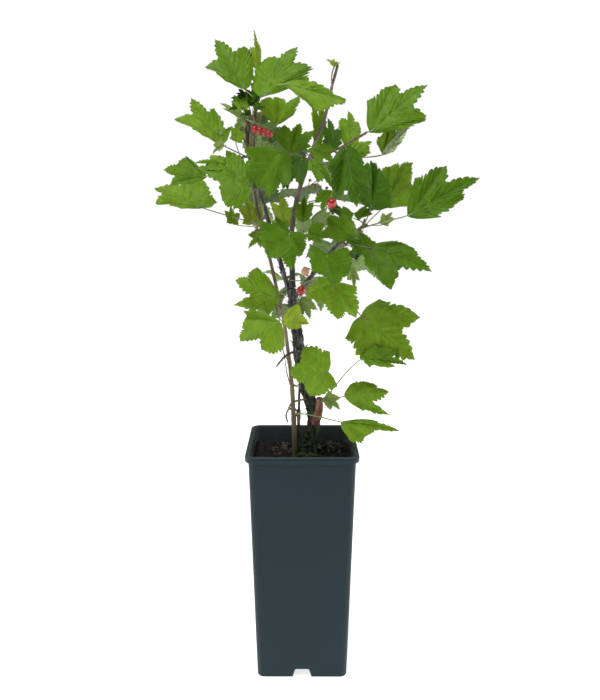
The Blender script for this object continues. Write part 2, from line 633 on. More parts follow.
def step_clear(route, radius, limb):
    """The route from where a tube of this radius has come clear of its parent limb."""
    fine = []
    for one, two in zip(route, route[1:]):
        count = max(1, round((two - one).length / mm(0.25)))
        fine += [one.lerp(two, index / count) for index in range(count)]
    for index in range(len(fine) - 1):
        way = (fine[index + 1] - fine[index]).normalized()
        foot = [fine[index], *ring(fine[index], way, radius / 2, 12), *ring(fine[index], way, radius, 12)]
        if min(limb.clearance(spot) for spot in foot) > GAP:
            start = fine[index]
            rest = [spot for spot in route if (spot - start).dot(way) > radius]
            return [start, *[spot for spot in rest if limb.clearance(spot) > radius]]
    raise ValueError("the route never leaves its limb")


def limb_skeletons():
    """The limbs' axes as the part's source has them, which the leaves grow on."""
    skeletons = {}
    for name, limb in LIMBS.items():
        route = smooth_route([seen(*knot) for knot in limb.route], ROUTE_STEP)
        rooted = limb.parent is None
        if rooted:
            route[0].z = SOIL_TOP + GAP
            route[1].x = route[0].x
            route[1].y = route[0].y
        elif limb.route[0] == LIMBS[limb.parent].route[-1]:
            lift = (route[1] - route[0]).normalized()
            rise = mm(LIMBS[limb.parent].tip_radius) * 0.9 + GAP
            route[0] = route[0] + lift * rise
        else:
            route = step_clear(route, mm(limb.foot_radius), skeletons[limb.parent])
        skeletons[name] = Skeleton(route, mm(limb.foot_radius), mm(limb.tip_radius), rooted, limb.hold)
    return skeletons


# Where the leaves are, as in the part's source

class Blade:
    """Where one leaf is: its foot, the ways that its midrib and its face point, its length and its lobes."""

    def __init__(self, foot, way, face, size, width=1.0, fold=18, bays=even(1.0)):
        self.foot = foot
        self.bays = bays
        self.way = way.normalized()
        self.face = (face - self.way * face.dot(self.way)).normalized()
        self.side = self.way.cross(self.face)
        self.size = size
        self.width = width
        self.arms = []
        fold = math.radians(fold)
        for angle, reach in LOBES:
            turn = math.radians(angle)
            across = self.side * math.sin(turn) * math.cos(fold) + self.face * abs(math.sin(turn)) * math.sin(fold)
            self.arms.append((across * width + self.way * math.cos(turn)) * reach * size)

    def spot(self, across, along, lift=0):
        """A point of the blade's plane, in shares of its length."""
        return self.foot + (self.side * across + self.way * along + self.face * lift) * self.size

    def plate(self, share=1.0):
        """The rim of the flat eight-sided plate that the blade takes up, or of a share of it."""
        turn = math.tau / 8
        reach = PLATE_REACH * share
        return [
            self.spot(reach * self.width * math.sin(turn * k), PLATE_CENTRE + reach * math.cos(turn * k))
            for k in range(8)]

    def spots(self):
        """Points all over the blade."""
        return self.plate() + self.plate(0.5) + [self.spot(0, PLATE_CENTRE), self.spot(0, 1)]

    def laid(self, across, along, lift):
        """Points of the blade, in shares of its length, each set between the two lobes that it lies between."""
        angles = np.radians([-180] + [angle for angle, _ in LOBES] + [180])
        back = -np.array(self.way) * self.size
        bases = np.array([back] + [np.array(arm) / reach for arm, (_, reach) in zip(self.arms, LOBES)] + [back])
        normals = np.cross(bases[1:], bases[:-1])
        normals /= np.linalg.norm(normals, axis=1)[:, None]
        edges = np.vstack([normals[:1], normals[1:] + normals[:-1], normals[-1:]])
        edges /= np.linalg.norm(edges, axis=1)[:, None]
        turn = np.arctan2(across, along)
        reach = np.hypot(across, along)
        sector = np.clip(np.searchsorted(angles, turn, side="right") - 1, 0, len(LOBES))
        span = angles[sector + 1] - angles[sector]
        first = reach * np.sin(angles[sector + 1] - turn) / np.sin(span)
        second = reach * np.sin(turn - angles[sector]) / np.sin(span)
        share = ((turn - angles[sector]) / span)[:, None]
        normal = edges[sector] * (1 - share) + edges[sector + 1] * share
        normal /= np.linalg.norm(normal, axis=1)[:, None]
        flat = bases[sector] * first[:, None] + bases[sector + 1] * second[:, None]
        return np.array(self.foot) + flat + normal * lift[:, None] * self.size


def measured_arms(leaf, blade):
    """The five lobes of a measured blade, in its plane as far as their lengths in the front view allow."""
    arms = []
    lobes = (*leaf.lobes[:2], (leaf.clock, leaf.size), *leaf.lobes[2:])
    for index, ((clock, length), (_, reach)) in enumerate(zip(lobes, LOBES)):
        if index == 2:
            arms.append(blade.way * blade.size)
            continue
        turn = math.radians(clock)
        right = leaf.right + length * math.sin(turn)
        up = leaf.up + length * math.cos(turn)
        flat = seen(right, up, leaf.out) - blade.foot
        full = reach * blade.size
        spare = math.sqrt(max(0, full ** 2 - flat.length_squared))
        away = max(-spare, min(spare, -flat.dot(blade.face) / min(-0.2, blade.face.y)))
        arms.append(seen(right, up, leaf.out - away / mm(1)) - blade.foot)
    return arms


def measured_blade(leaf):
    """The blade of a leaf that was measured in the front view."""
    clock = math.radians(leaf.clock)
    lean = math.radians(-COMMON_LEAN * math.cos(clock) if leaf.lean is None else leaf.lean)
    roll = math.radians(COMMON_ROLL if leaf.roll is None else leaf.roll)
    way = Vector((math.sin(clock) * math.cos(lean), -math.sin(lean), math.cos(clock) * math.cos(lean)))
    viewer = Vector((0, -1, 0))
    face = (viewer - way * viewer.dot(way)).normalized()
    upper = way.cross(face)
    if upper.x + 2 * upper.z < 0:
        upper.negate()
    face = face * math.cos(roll) + upper * math.sin(roll)
    size = mm(leaf.size) * nearness(leaf.out) / math.cos(lean)
    blade = Blade(seen(leaf.right, leaf.up, leaf.out), way, face, size, leaf.width, bays=leaf.bays)
    if leaf.lobes:
        blade.arms = measured_arms(leaf, blade)
    return blade


def added_blade(spur_tip, heading, chance):
    """A blade by the seeded rule: a stalk's length from the spur, facing up and out, with its tip low."""
    rise = chance.uniform(*ADDED_RISE)
    stalk = chance.uniform(*ADDED_STALK)
    out = Vector((math.cos(heading), math.sin(heading), 0))
    foot = spur_tip + (out * math.cos(rise) + Vector((0, 0, 1)) * math.sin(rise)) * stalk
    droop = math.radians(chance.uniform(5, 55))
    way = out * math.cos(droop) - Vector((0, 0, 1)) * math.sin(droop)
    roll = math.radians(chance.uniform(-28, 28))
    face = out * math.sin(droop) + Vector((0, 0, 1)) * math.cos(droop)
    face.rotate(Matrix.Rotation(roll, 3, way))
    return Blade(foot, way, face, chance.uniform(*ADDED_BLADE), 1.0, chance.uniform(*MIDRIB_FOLD))


def crosses(plate, one, two):
    """Whether the line from one point to the other goes through a flat plate."""
    centre = sum(plate, Vector()) / len(plate)
    normal = (plate[0] - centre).cross(plate[2] - centre).normalized()
    before = (one - centre).dot(normal)
    after = (two - centre).dot(normal)
    if before * after >= 0:
        return False
    hit = one.lerp(two, before / (before - after))
    return all(
        (following - corner).cross(hit - corner).dot(normal) > 0
        for corner, following in zip(plate, plate[1:] + plate[:1]))


def line_crosses(plate, line):
    return any(crosses(plate, one, two) for one, two in zip(line, line[1:]))


def closest(spots, others):
    """The least distance between two sets of points."""
    if not others:
        return 1
    first = np.array(spots)[:, None]
    return float(np.sqrt(((first - np.array(others)[None]) ** 2).sum(axis=2)).min())


class Crown:
    """What has been placed so far, so that each added leaf finds a place of its own."""

    def __init__(self, limbs):
        self.limbs = limbs
        self.plates = []
        self.lines = []
        self.blade_spots = []
        self.line_spots = []

    def add(self, blade, stalk):
        self.plates.append(blade.plate())
        self.lines.append(stalk)
        self.blade_spots += blade.spots()
        self.line_spots += stalk

    def has_room(self, blade, stalk, spurs):
        """Whether a leaf and its stalk keep clear of every limb, every other spur and every leaf."""
        plate = blade.plate()
        spots = blade.spots()
        away = stalk[2:]
        for limb in self.limbs + spurs:
            if min(limb.clearance(spot) for spot in spots + away) < LIMB_ROOM:
                return False
            if line_crosses(plate, limb.points):
                return False
        if closest(spots, self.blade_spots) < BLADE_ROOM or closest(spots, self.line_spots) < STALK_ROOM:
            return False
        if closest(away, self.blade_spots) < STALK_ROOM or closest(away, self.line_spots) < LIMB_ROOM:
            return False
        rims = [edge for other in self.plates for edge in zip(other, other[1:] + other[:1])]
        own = list(zip(plate, plate[1:] + plate[:1]))
        return not (
            any(crosses(plate, *edge) for edge in rims)
            or any(crosses(other, *edge) for other in self.plates for edge in own)
            or any(line_crosses(other, stalk) for other in self.plates)
            or any(line_crosses(plate, line) for line in self.lines))


def stalk_route(spur, at, blade, count=STALK_POINTS):
    """The leaf stalk, from inside its spur to the blade's foot."""
    start, along = spur.place(at)
    out = blade.foot - start
    leave = (out.normalized() * 2 + along * 0.5 + Vector((0, 0, 0.35))).normalized()
    arrive = (out.normalized() * 2 + blade.way).normalized()
    route = bent_route(start, leave, blade.foot, arrive, count)
    route.append(blade.spot(0, 0.16))
    return route


def grow_spur(plan, skeletons):
    """The short stem of one group, from clear of its limb to its tip."""
    limb = skeletons[plan.limb]
    start, along = limb.place(plan.at)
    tip = seen(*plan.spur)
    if plan.at == 1:
        foot = start + along * GAP
        bend = foot + along * mm(2)
        return Skeleton([foot, *bent_route(bend, along, tip, (tip - bend).normalized(), 4)], *SPUR_RADII)
    route = smooth_route([start, start.lerp(tip, 0.5) + along * mm(1.5), tip], mm(6))
    return Skeleton(step_clear(route, SPUR_RADII[0], limb), *SPUR_RADII)


def root_of(index, count):
    """Where the stalk with this number leaves its spur, as a share of the spur's length."""
    return 0.35 + 0.6 * (index + 0.5) / count


def grow_leaves(skeletons):
    """Every group's spur, and each leaf as its group, its blade, its root on the spur and its tint."""
    spurs = {name: grow_spur(plan, skeletons) for name, plan in GROUPS.items()}
    crown = Crown(list(skeletons.values()))
    grown = []
    for name, plan in GROUPS.items():
        for index, leaf in enumerate(plan.leaves):
            blade = measured_blade(leaf)
            root = root_of(index, len(plan.leaves))
            grown.append((name, blade, root, leaf.tint))
            crown.add(blade, stalk_route(spurs[name], root, blade))
    for name, plan in GROUPS.items():
        chance = random.Random(name + str(plan.seed))
        others = [spur for other, spur in spurs.items() if other != name]
        for index in range(plan.added):
            share = (index + 0.5) / plan.added
            root = root_of(index, plan.added)
            for attempt in range(ADDED_TRIES):
                heading = plan.heading + plan.spread * (2 * ((share + 0.38 * attempt) % 1) - 1)
                heading = math.radians(heading + chance.uniform(-8, 8))
                blade = added_blade(spurs[name].place(root)[0], heading, chance)
                stalk = stalk_route(spurs[name], root, blade)
                if crown.has_room(blade, stalk, others):
                    grown.append((name, blade, root, ADDED_TINTS[index % len(ADDED_TINTS)]))
                    crown.add(blade, stalk)
                    break
    return spurs, grown


# Stems

def pipe(points, radii, sides, relief=None, flatness=1.0):
    """A closed round rod through the points: a cylinder, cut across and laid along them."""
    bpy.ops.mesh.primitive_cylinder_add(vertices=sides, radius=1, depth=1, end_fill_type="NGON")
    rod = bpy.context.object
    if len(points) > 2:
        for edge in rod.data.edges:
            heights = [rod.data.vertices[index].co.z for index in edge.vertices]
            edge.select = abs(heights[0] - heights[1]) > 0.5
        bpy.ops.object.mode_set(mode="EDIT")
        bpy.ops.mesh.select_mode(type="EDGE")
        bpy.ops.object.mode_set(mode="OBJECT")
        for edge in rod.data.edges:
            heights = [rod.data.vertices[index].co.z for index in edge.vertices]
            edge.select = abs(heights[0] - heights[1]) > 0.5
        bpy.ops.object.mode_set(mode="EDIT")
        bpy.ops.mesh.subdivide(number_cuts=len(points) - 2)
        bpy.ops.object.mode_set(mode="OBJECT")
    frames = []
    ways = []
    for index in range(len(points)):
        before = points[max(0, index - 1)]
        after = points[min(len(points) - 1, index + 1)]
        ways.append((after - before).normalized())
    side = ways[0].orthogonal().normalized()
    for way in ways:
        side = (side - way * side.dot(way)).normalized()
        frames.append((side, way.cross(side)))
    travelled = [0]
    for one, two in zip(points, points[1:]):
        travelled.append(travelled[-1] + (two - one).length)
    laid = np.empty((len(rod.data.vertices), 3))
    for number, vert in enumerate(rod.data.vertices):
        index = round((vert.co.z + 0.5) * (len(points) - 1))
        across, up = frames[index]
        turn = math.atan2(vert.co.y, vert.co.x)
        radius = radii[index]
        if relief:
            radius += relief(turn, travelled[index], radii[index])
        laid[number] = points[index] + (across * math.cos(turn) + up * math.sin(turn) * flatness) * radius
    set_points(rod, laid)
    return rod


def old_bark_relief(depth, length=11.0):
    """Peeling plates with cracks between them, longer than wide."""
    def relief(turn, along, radius):
        around = radius / mm(3.4)
        place = Vector((math.cos(turn) * around, math.sin(turn) * around, along / mm(length)))
        distances = noise.voronoi(place)[0]
        crack = min(1, (distances[1] - distances[0]) / 0.22)
        plate = noise.noise(place * 1.7)
        fine = noise.noise(Vector((place.x * 5, place.y * 5, place.z * 3)))
        return mm(depth) * (0.75 * crack - 0.45 + 0.65 * plate + 0.22 * fine)
    return relief


def young_bark_relief(depth, joint=27.0):
    """Fine lengthwise ribs, and a swelling at each joint."""
    def relief(turn, along, radius):
        place = Vector((math.cos(turn) * 1.6, math.sin(turn) * 1.6, along / mm(30)))
        phase = (along / mm(joint)) % 1
        swelling = math.exp(-((phase - 0.5) / 0.05) ** 2) * 0.22
        return mm(depth) * noise.noise(place * 2.3) + radius * swelling
    return relief


def limb_route(name):
    """A limb's fine axis, which starts inside its parent or just under the compost."""
    limb = LIMBS[name]
    knots = [seen(*knot) for knot in limb.route]
    if limb.parent is None:
        knots[0].z = SOIL_TOP + GAP
        knots.insert(0, knots[0] - Vector((0, 0, mm(5))))
    return knots


def make_stems(finishes):
    """Every limb in its bark, with the collar where it leaves its parent."""
    looks = {
        "old_stem": (44, 0.9, old_bark_relief(1.9), "old_bark"),
        "young_cane": (20, 1.1, young_bark_relief(0.22, 31), "young_bark"),
        "left_bough": (22, 1.0, old_bark_relief(0.62, 7), "old_bark"),
        "right_shoot": (22, 1.0, old_bark_relief(0.4, 9), "shoot_bark"),
        "right_bough": (22, 1.0, old_bark_relief(0.6, 7), "old_bark"),
        "side_twig": (14, 1.0, young_bark_relief(0.16, 17), "brown_bark"),
        "pruned_stub": (26, 0.8, old_bark_relief(0.8, 5), "cut_wood"),
        "dried_twig": (14, 0.9, old_bark_relief(0.5, 5), "old_bark"),
        "bare_twig": (12, 0.9, young_bark_relief(0.2, 12), "old_bark"),
    }
    for name, (sides, step, relief, finish) in looks.items():
        limb = LIMBS[name]
        route = smooth_route(limb_route(name), mm(step))
        spine = Skeleton(route, mm(limb.foot_radius), mm(limb.tip_radius), limb.parent is None, limb.hold)
        radii = []
        for place, radius in zip(spine.at, spine.radii):
            travelled = place * spine.length
            if limb.parent:
                radius *= 1 + 0.25 * math.exp(-travelled / mm(5))
            left = spine.length - travelled
            if name != "pruned_stub" and left < radius:
                radius *= 0.35 + 0.65 * math.sqrt(1 - (1 - left / radius) ** 2)
            radii.append(radius)
        rod = pipe(route, radii, sides, relief)
        rod.name = name + "_bark"
        settle(rod, "brown_bark" if finish == "shoot_bark" else finish, [finishes[finish]], name)


def make_flakes(finishes):
    """Bark that peels away from the old stem and its boughs in small curled strips."""
    bpy.ops.mesh.primitive_grid_add(x_subdivisions=3, y_subdivisions=6, size=1)
    model = bpy.context.object
    chance = random.Random(FIRST_SEED + 21)
    flakes = []
    for name, count in (("old_stem", 110), ("left_bough", 26), ("right_bough", 20), ("right_shoot", 12)):
        limb = LIMBS[name]
        spine = Skeleton(
            smooth_route(limb_route(name), mm(3)), mm(limb.foot_radius), mm(limb.tip_radius),
            limb.parent is None, limb.hold)
        for index in range(count):
            at = chance.uniform(0.04, 0.97)
            spot, way = spine.place(at)
            turn = chance.uniform(0, math.tau)
            side = way.orthogonal().normalized()
            out = side * math.cos(turn) + way.cross(side) * math.sin(turn)
            across = way.cross(out)
            long = mm(chance.uniform(3, 10)) * (0.5 + spine.radius(at) / mm(9))
            wide = mm(chance.uniform(0.9, 2.6)) * (0.6 + spine.radius(at) / mm(9))
            curl = chance.uniform(0.1, 0.55)
            flake = copy_of(model)
            points = points_of(flake)
            laid = np.empty_like(points)
            radius = spine.radius(at) + mm(0.15)
            for number, (x, y, _) in enumerate(points):
                share = y + 0.5
                rim = 1 - 0.5 * abs(x) * share
                lift = radius + long * curl * share ** 2 - wide * 0.25 * (2 * x) ** 2
                laid[number] = spot + across * x * wide * rim + way * (y * long * rim) + out * lift
            set_points(flake, laid)
            flakes.append(flake)
    discard(model)
    piece = join("bark_flakes", flakes)
    apply_modifier(piece, "SOLIDIFY", thickness=mm(0.28), offset=0)
    settle(piece, "old_bark", [finishes["flake"]])


def make_buds(finishes):
    """Small pointed buds that stand beside the stems, turn and turn about."""
    bpy.ops.mesh.primitive_uv_sphere_add(segments=10, ring_count=8, radius=1)
    model = bpy.context.object
    points = points_of(model)
    height = points[:, 2]
    taper = np.where(height > 0, 1 - 0.55 * height, 1 - 0.2 * height ** 2)
    points[:, 0] *= taper * 0.8
    points[:, 1] *= taper * 0.8
    points[:, 2] = height * 1.9 + 0.6
    set_points(model, points)
    chance = random.Random(FIRST_SEED + 5)
    buds = []
    rows = (
        ("young_cane", 9, 0.9), ("right_shoot", 10, 1.0), ("left_bough", 8, 0.9), ("right_bough", 5, 1.0),
        ("side_twig", 4, 0.8), ("bare_twig", 2, 0.7), ("dried_twig", 2, 0.7))
    for name, count, size in rows:
        limb = LIMBS[name]
        spine = Skeleton(smooth_route(limb_route(name), mm(3)), mm(limb.foot_radius), mm(limb.tip_radius))
        for index in range(count):
            at = 0.12 + 0.84 * (index + 0.5) / count
            spot, way = spine.place(at)
            side = way.orthogonal().normalized()
            turn = index * 2.4 + chance.uniform(-0.4, 0.4)
            out = side * math.cos(turn) + way.cross(side) * math.sin(turn)
            lean = (out * 0.55 + way).normalized()
            bud = copy_of(model)
            scale = mm(size * chance.uniform(0.7, 1.1))
            turned = Matrix.Translation(spot + out * spine.radius(at) * 0.9) @ lean.to_track_quat("Z", "Y").to_matrix().to_4x4()
            bud.data.transform(turned @ Matrix.Scale(scale, 4))
            buds.append(bud)
    discard(model)
    settle(join("stem_buds", buds), "brown_bark", [finishes["bud"]])


# Leaves

def half_outline(chance, bays):
    """One half of a blade's edge, from its tip round to its foot: the toothed edge and the smooth one.

    The shares for the two bays are given from the tip on.
    """
    knots = []
    for index, (angle, reach, teeth) in enumerate(HALF_BLADE):
        if index in BAYS:
            angle += chance.uniform(-2, 2)
            reach *= bays[BAYS.index(index)] * chance.uniform(0.96, 1.04)
        elif 0 < angle < 180:
            angle += chance.uniform(-1.5, 1.5)
            reach *= chance.uniform(0.97, 1.03)
        turn = math.radians(angle)
        knots.append((np.array((math.sin(turn), math.cos(turn))) * reach, teeth))
    toothed = []
    smooth = []
    for index in range(len(knots) - 1):
        (start, teeth), (end, _) = knots[index], knots[index + 1]
        chord = end - start
        length = np.linalg.norm(chord)
        outward = np.array((-chord[1], chord[0])) / length
        from_tip = index in LOBE_TIPS
        to_tip = index + 1 in LOBE_TIPS
        blunt = max(0, min(1, 3 * (bays[0 if index < BAYS[0] + 1 else 1] - 1)))
        lengths = [chance.uniform(0.8, 1.2) for _ in range(max(1, teeth))]
        if from_tip:
            lengths[0] *= 1.35
        if to_tip:
            lengths[-1] *= 1.35
        ends = np.cumsum([0] + lengths) / sum(lengths)
        for tooth, (begin, finish) in enumerate(zip(ends, ends[1:])):
            size = TOOTH_HEIGHT * chance.uniform(0.75, 1.25) if teeth else 0
            shape = ((0.0, 0.0), (0.14, 0.62), (0.36, 1.0), (0.70, 0.66))
            if not from_tip and to_tip:
                shape = ((0.0, 0.0), (0.30, 0.66), (0.64, 1.0), (0.86, 0.62))
            if from_tip and tooth == 0:
                shape = ((0.0, 0.0), (0.35, 0.05), (0.60, 0.30), (0.82, 0.34))
            if to_tip and tooth == len(lengths) - 1:
                shape = ((0.0, 0.0), (0.18, 0.34), (0.40, 0.30), (0.65, 0.05))
            for share, height in shape:
                along = begin + (finish - begin) * share
                inner = along if from_tip else 1 - along
                bulge = EDGE_BULGE * length * 6.75 * inner ** 2 * (1 - inner)
                bulge += BLUNT_BULGE * length * 4 * inner * (1 - inner) * blunt
                if index >= LOBE_TIPS[-1]:
                    bulge = 0
                base = start + chord * along + outward * bulge
                smooth.append(base)
                toothed.append(base + outward * height * size)
    smooth.append(knots[-1][0])
    toothed.append(knots[-1][0])
    return toothed, smooth


def whole_outline(chance, bays=even(1.0)):
    """The edge all round, clockwise from the tip as the viewer sees it."""
    right_toothed, right_smooth = half_outline(chance, bays[2:])
    left_toothed, left_smooth = half_outline(chance, bays[1::-1])
    flip = np.array((-1, 1))
    toothed = right_toothed + [spot * flip for spot in reversed(left_toothed[1:-1])]
    smooth = right_smooth + [spot * flip for spot in reversed(left_smooth[1:-1])]
    return np.array(toothed), np.array(smooth)


def main_veins():
    """The veins that run from the foot to each lobe's tip, as directions and lengths."""
    veins = []
    for index in LOBE_TIPS:
        angle, reach, _ = HALF_BLADE[index]
        for side in ((1,) if angle == 0 else (1, -1)):
            turn = math.radians(angle) * side
            veins.append((np.array((math.sin(turn), math.cos(turn))), reach))
    return veins


def vein_relief(across, along):
    """How the face dips along its veins and swells between them, in shares of the blade's length."""
    best = np.full(across.shape, 9.0)
    depth = np.zeros(across.shape)
    for way, reach in main_veins():
        t = across * way[0] + along * way[1]
        d = np.abs(across * way[1] - along * way[0])
        away = np.where(t < 0, np.hypot(t, d) + 0.05, d + np.maximum(0, t - reach) * 2)
        groove = -VEIN_GROOVE * np.exp(-(d / 0.02) ** 2) * np.clip(1.15 - t / reach, 0, 1)
        wave = np.cos(math.tau * (t - SIDE_VEIN_SLANT * d - FIRST_SIDE_VEIN) / SIDE_VEIN_STEP)
        quilt = -QUILT * wave * np.clip(d / 0.04, 0, 1) * np.clip((t + 0.1) / 0.2, 0, 1)
        nearer = away < best
        pleat = PLEAT * d * np.clip(t / 0.2, 0, 1)
        depth = np.where(nearer, groove + quilt + pleat, depth)
        best = np.where(nearer, away, best)
    return depth


def blade_model(chance, bays):
    """One flat blade, a unit long: a disc inset ring by ring, then drawn out to the toothed outline."""
    toothed, smooth = whole_outline(chance, bays)
    count = len(toothed)
    bpy.ops.mesh.primitive_circle_add(vertices=count, radius=1, fill_type="NGON")
    model = bpy.context.object
    bpy.ops.object.mode_set(mode="EDIT")
    bpy.ops.mesh.select_mode(type="FACE")
    bpy.ops.mesh.select_all(action="SELECT")
    band = 1 / (BLADE_RINGS + 1)
    for _ in range(BLADE_RINGS):
        bpy.ops.mesh.inset(thickness=band * math.cos(math.pi / count))
    bpy.ops.mesh.poke()
    bpy.ops.object.mode_set(mode="OBJECT")
    points = points_of(model)
    heart = np.array((0, BLADE_HEART))
    laid = np.zeros_like(points)
    for number, (x, y, _) in enumerate(points):
        radius = math.hypot(x, y)
        if radius < band / 2:
            laid[number, :2] = heart
            continue
        level = round((1 - radius) / band)
        index = round(math.atan2(x, y) % math.tau / math.tau * count) % count
        edge = toothed if level == 0 else smooth
        share = 1 if level == 0 else 0.95 * ((1 - level * band) / (1 - band)) ** 0.9
        laid[number, :2] = heart + (edge[index] - heart) * share
    laid[:, 2] = vein_relief(laid[:, 0], laid[:, 1])
    set_points(model, laid)
    tips = [way * reach for way, reach in main_veins()]
    for face in model.data.polygons:
        middle = np.array(face.center[:2])
        if min(np.linalg.norm(middle - tip) for tip in tips) < BROWN_TIP:
            face.material_index = 3
    return model


def is_inside(spot, outline):
    """Whether a spot is inside a closed outline."""
    crossings = 0
    for (x1, y1), (x2, y2) in zip(outline, np.roll(outline, -1, axis=0)):
        if (y1 > spot[1]) != (y2 > spot[1]) and spot[0] < x1 + (spot[1] - y1) * (x2 - x1) / (y2 - y1):
            crossings += 1
    return crossings % 2 == 1


def vein_model():
    """All the veins of one blade, a unit long, as thin keels that show on both faces."""
    keels = []
    heart = np.array((0, BLADE_HEART))
    outline = heart + (whole_outline(random.Random(FIRST_SEED), (0.6, 0.85, 0.85, 0.6))[1] - heart) * 0.92

    def keel(start, end, widths, count):
        points = [Vector((*(start + (end - start) * k / (count - 1)), 0)) for k in range(count)]
        radii = [widths[0] + (widths[1] - widths[0]) * k / (count - 1) for k in range(count)]
        keels.append(pipe(points, radii, 4, flatness=1.0))

    for way, reach in main_veins():
        keel(way * -0.01, way * reach * 0.95, (MAIN_VEIN_WIDTH, SIDE_VEIN_WIDTH * 0.6), 9)
        t = FIRST_SIDE_VEIN
        while t < reach * 0.86:
            for side in (1, -1):
                over = np.array((way[1], -way[0])) * side
                length = min(0.24, (reach - t) * 0.62 + 0.02)
                start = way * t
                end = way * (t + SIDE_VEIN_SLANT * length) + over * length
                while length > 0.03 and not is_inside(end, outline):
                    length -= 0.01
                    end = way * (t + SIDE_VEIN_SLANT * length) + over * length
                keel(start, end, (SIDE_VEIN_WIDTH, SIDE_VEIN_WIDTH * 0.35), 4)
            t += SIDE_VEIN_STEP
    whole = join("vein_model", keels)
    points = points_of(whole)
    points[:, 2] += vein_relief(points[:, 0], points[:, 1])
    set_points(whole, points)
    return whole


def lay_leaf(model, blade, habit, sink=0.0):
    """A copy of the model, curved by the leaf's habit and set in its place."""
    leaf = copy_of(model)
    points = points_of(leaf)
    across, along, height = points[:, 0], points[:, 1], points[:, 2]
    turn = np.arctan2(across, along - BLADE_HEART)
    reach = np.hypot(across, along - BLADE_HEART)
    lift = habit["trough"] * np.sqrt(across ** 2 + 0.0009) - BLADE_CURL * across ** 2
    lift += BLADE_ARCH * along * (1 - along)
    lift += habit["wave"] * reach ** 2 * np.sin(habit["waves"] * turn + habit["phase"])
    lift += habit["twist"] * across * (along - 0.3)
    lift -= habit["droop"] * np.clip(reach - 0.34, 0, None) ** 2
    set_points(leaf, blade.laid(across, along, lift + height - sink / blade.size))
    return leaf


def make_leaves(grown, finishes):
    """Every leaf as a toothed blade with its veins, joined by tint."""
    chance = random.Random(FIRST_SEED + 11)
    kinds = {
        bays: [
            blade_model(random.Random(FIRST_SEED + 50 + kind), bays)
            for kind in range(BLADE_KINDS if bays == even(1.0) else 1)]
        for bays in sorted({blade.bays for _, blade, _, _ in grown})}
    veins = vein_model()
    blades = {tint: [] for tint in TINTS}
    keels = {tint: [] for tint in TINTS}
    for name, blade, root, tint in grown:
        habit = {
            "trough": BLADE_TROUGH * chance.uniform(0.7, 1.3),
            "wave": chance.uniform(0.03, 0.09),
            "waves": chance.choice((3, 4, 5)),
            "phase": chance.uniform(0, math.tau),
            "twist": chance.uniform(-0.08, 0.08),
            "droop": chance.uniform(0.05, 0.3),
        }
        leaf = lay_leaf(chance.choice(kinds[blade.bays]), blade, habit)
        for part in ("", "_under", "_edge", "_tip"):
            leaf.data.materials.append(finishes[tint + part])
        blades[tint].append(leaf)
        keels[tint].append(lay_leaf(veins, blade, habit, BLADE_THICKNESS / 2))
    discard(veins, *[kind for alike in kinds.values() for kind in alike])
    for tint in TINTS:
        piece = join(tint + "_leaf_blades", blades[tint])
        apply_modifier(
            piece, "SOLIDIFY", thickness=BLADE_THICKNESS, offset=-1, material_offset=1, material_offset_rim=2)
        settle(piece, "leaf", None, *(GROUPS if tint == "fresh" else ()))
        settle(join(tint + "_leaf_veins", keels[tint]), "leaf", [finishes[tint + "_vein"]])


def make_stalks(spurs, grown, finishes):
    """The leaf stalks, and the knobbly spurs that they grow from."""
    chance = random.Random(FIRST_SEED + 31)
    green = []
    purple = []
    for name, blade, root, tint in grown:
        route = stalk_route(spurs[name], root, blade, 14)[:-1]
        route.append(blade.spot(0, 0.05, 0.0))
        count = len(route)
        radii = []
        for index in range(count):
            share = index / (count - 1)
            swell = 0.6 * math.exp(-share / 0.06) + 0.15 * math.exp(-(1 - share) / 0.08)
            radii.append(STALK_RADIUS * (1 - 0.2 * share + swell) * (0.75 + 0.25 * blade.size / mm(50)))
        stalk = pipe(route, radii, 7)
        (purple if chance.random() < 0.42 else green).append(stalk)
    settle(join("green_leaf_stalks", green), "leaf", [finishes["green_stalk"]])
    settle(join("purple_leaf_stalks", purple), "leaf", [finishes["purple_stalk"]])
    twigs = []
    for name, spur in spurs.items():
        plan = GROUPS[name]
        route = smooth_route([spur.points[0] - (spur.points[1] - spur.points[0]).normalized() * mm(3), *spur.points], mm(0.8))
        count = len(route)
        radii = []
        for index in range(count):
            share = index / (count - 1)
            ends = math.sqrt(max(0.02, 1 - max(0, share - 0.93) ** 2 / 0.07 ** 2))
            radii.append(SPUR_RADII[0] * (0.62 - 0.2 * share) * ends)
        twigs.append(pipe(route, radii, 12, young_bark_relief(0.25, 4.5)))
    settle(join("fruiting_spurs", twigs), "brown_bark", [finishes["brown_bark"]])


